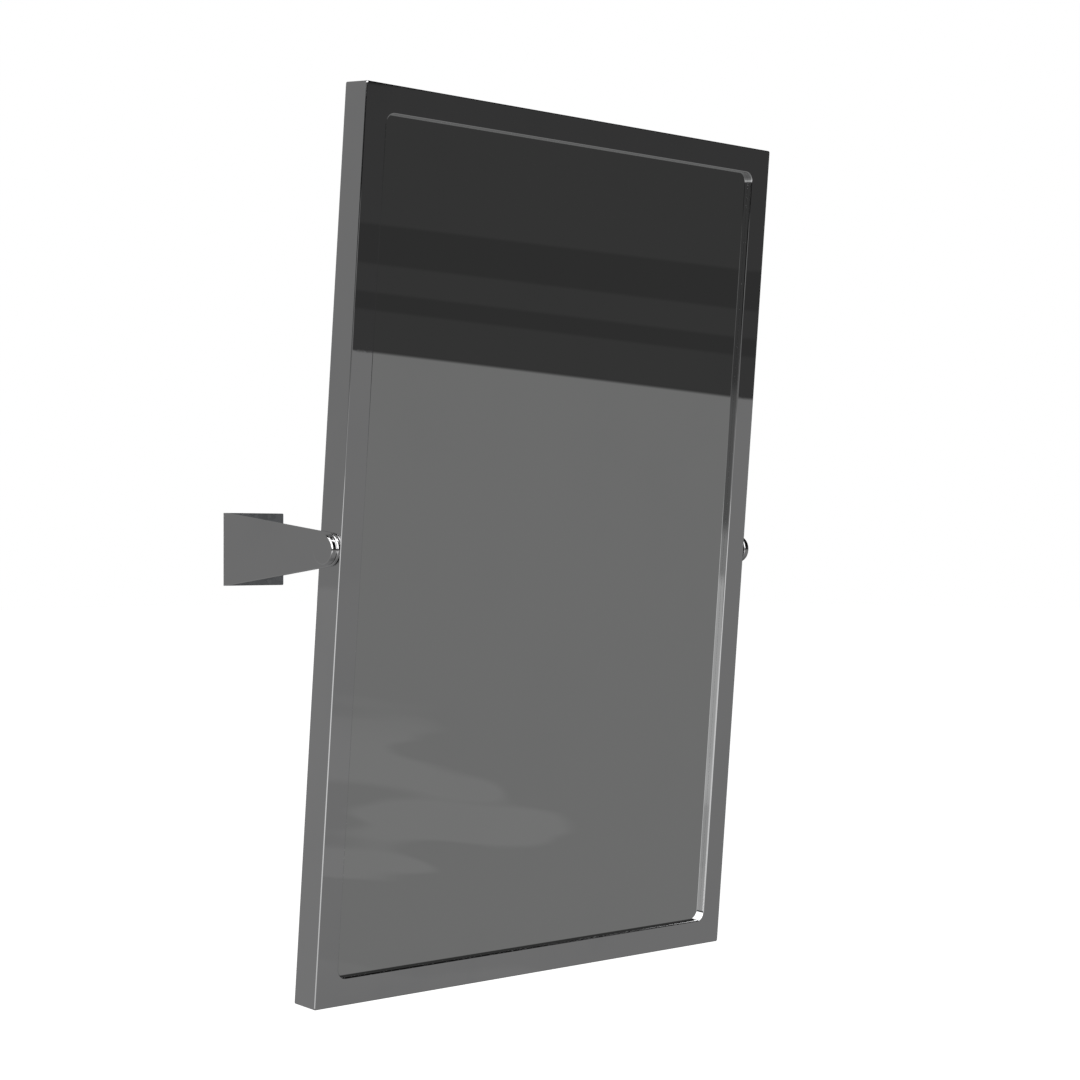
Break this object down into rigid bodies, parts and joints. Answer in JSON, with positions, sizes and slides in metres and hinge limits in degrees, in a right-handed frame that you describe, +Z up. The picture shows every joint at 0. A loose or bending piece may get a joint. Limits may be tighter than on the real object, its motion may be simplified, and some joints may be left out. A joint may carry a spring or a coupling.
{
  "type": "pivot wall mirror",
  "caption": "Rectangular wall mirror in a polished chrome frame that tilts on two friction pivots held by tapered wall brackets with square plates.",
  "frame": {"origin": "on the wall, midway between the two wall plates and level with the pivots", "axes": "+Z up, -Y out of the wall towards the viewer, +X to the right of someone facing the glass"},
  "size_m": [0.6254, 0.2214, 0.9131],
  "materials": {
    "polished_chrome": "mirror-polished chrome plate",
    "silvered_glass": "flat silvered float glass",
    "zinc_sheet": "galvanised sheet steel with a fine spangle",
    "zinc_plated": "bright zinc-plated steel",
    "plain_steel": "machined steel, lightly oiled",
    "hardboard": "tempered hardboard",
    "black_rubber": "matt black rubber",
    "foil_tape": "bright foil face of a butyl glazing tape",
    "white_nylon": "natural nylon"
  },
  "bodies": {
    "wall_brackets": {"bracket_left": "polished_chrome", "bracket_right": "polished_chrome", "pivot_bush_left": "white_nylon", "pivot_bush_right": "white_nylon", "pivot_washer_left": "white_nylon", "pivot_washer_right": "white_nylon"},
    "mirror": {"mirror_frame": "polished_chrome", "mirror_glass": "silvered_glass", "glazing_tape": "foil_tape", "setting_blocks": "black_rubber", "backing_board": "hardboard", "rear_pan": "zinc_sheet", "rear_pan_screws": "zinc_plated", "pivot_block_left": "plain_steel", "pivot_block_right": "plain_steel", "pivot_stud_left": "zinc_plated", "pivot_stud_right": "zinc_plated", "disc_spring_left": "plain_steel", "disc_spring_right": "plain_steel", "pivot_cap_left": "polished_chrome", "pivot_cap_right": "polished_chrome"}
  },
  "joints": [
    {"name": "mirror_tilt", "type": "hinge", "parent": "wall_brackets", "child": "mirror", "pos_m": [0, -0.166, 0], "axis": [1, 0, 0], "range_deg": [-23, 13]}
  ]
}
